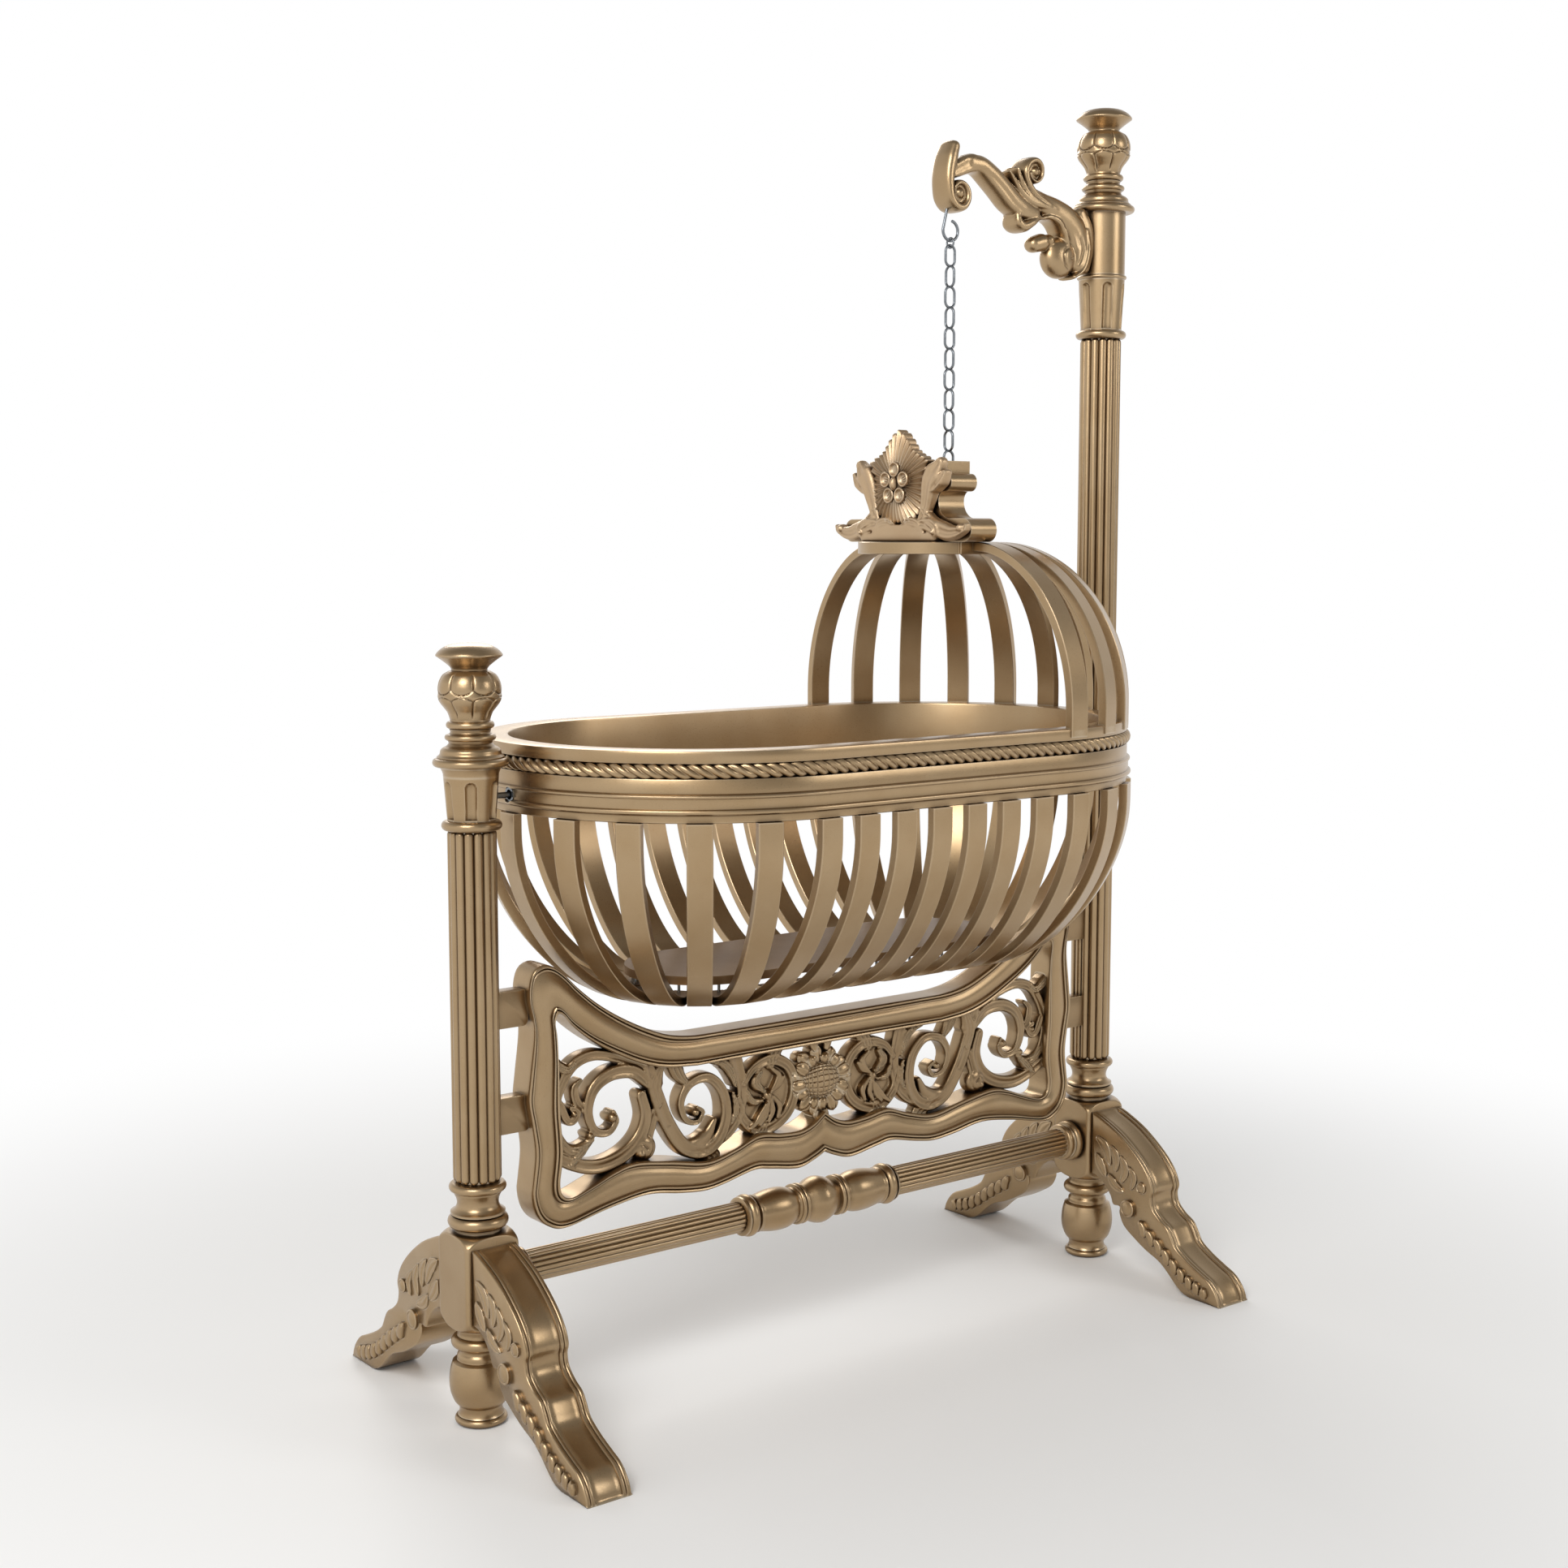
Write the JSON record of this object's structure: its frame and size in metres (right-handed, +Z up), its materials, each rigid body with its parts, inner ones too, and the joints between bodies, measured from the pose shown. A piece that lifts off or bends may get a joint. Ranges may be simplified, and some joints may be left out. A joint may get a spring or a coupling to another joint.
{
  "type": "swinging cradle",
  "caption": "Ornate swinging cradle: slatted oval basket with a ribbed hood, hung from a scroll arm by a chain and pivoted on a turned post.",
  "frame": {"origin": "on the floor, midway between the two posts", "axes": "+Z up; +X along the cradle from the short post at the foot end to the tall post at the head end; -Y the front that the picture shows"},
  "size_m": [1.239, 0.632, 1.839],
  "materials": {
    "gold_paint": "champagne gold metallic paint on turned and carved wood",
    "carved_gold": "darker antique gold metallic paint on wood",
    "bare_wood": "bare hardwood dowel",
    "steel": "zinc-plated steel"
  },
  "bodies": {
    "stand": {"short_turned_foot": "gold_paint", "tall_turned_foot": "gold_paint", "short_hub_block": "gold_paint", "tall_hub_block": "gold_paint", "short_front_leg": "gold_paint", "short_back_leg": "gold_paint", "tall_front_leg": "gold_paint", "tall_back_leg": "gold_paint", "leg_bolts": "steel", "post_studs": "steel", "short_post": "gold_paint", "tall_post": "gold_paint", "short_post_finial": "gold_paint", "tall_post_finial": "gold_paint", "finial_dowels": "bare_wood", "stretcher_left_rail": "gold_paint", "stretcher_turning": "gold_paint", "stretcher_right_rail": "gold_paint", "stretcher_dowels": "bare_wood", "panel_frame": "gold_paint", "panel_scrollwork_left": "carved_gold", "panel_scrollwork_right": "carved_gold", "panel_flower": "gold_paint", "left_brackets": "carved_gold", "right_brackets": "carved_gold", "bracket_screws": "steel", "arm_sleeve": "gold_paint", "scroll_arm": "gold_paint", "arm_bolts": "steel", "chain_hook": "steel", "pivot_stud": "steel"},
    "basket": {"rim_band": "gold_paint", "rope_moulding": "gold_paint", "front_slats": "gold_paint", "back_slats": "gold_paint", "foot_end_slats": "gold_paint", "head_end_slats": "gold_paint", "base_board": "carved_gold", "base_screws": "steel", "hood_ribs": "gold_paint", "hood_screws": "steel", "crown_plate": "gold_paint", "crown_pedestal": "gold_paint", "crown_ornament": "gold_paint", "chain_eye": "steel", "chain_links": "steel", "chain_ring": "steel", "pivot_socket": "steel"}
  },
  "joints": [
    {"name": "basket_swing", "type": "hinge", "parent": "stand", "child": "basket", "pos_m": [-0.501, 0, 0.839], "axis": [0.6963, 0, 0.7178], "range_deg": [-12, 12]}
  ]
}
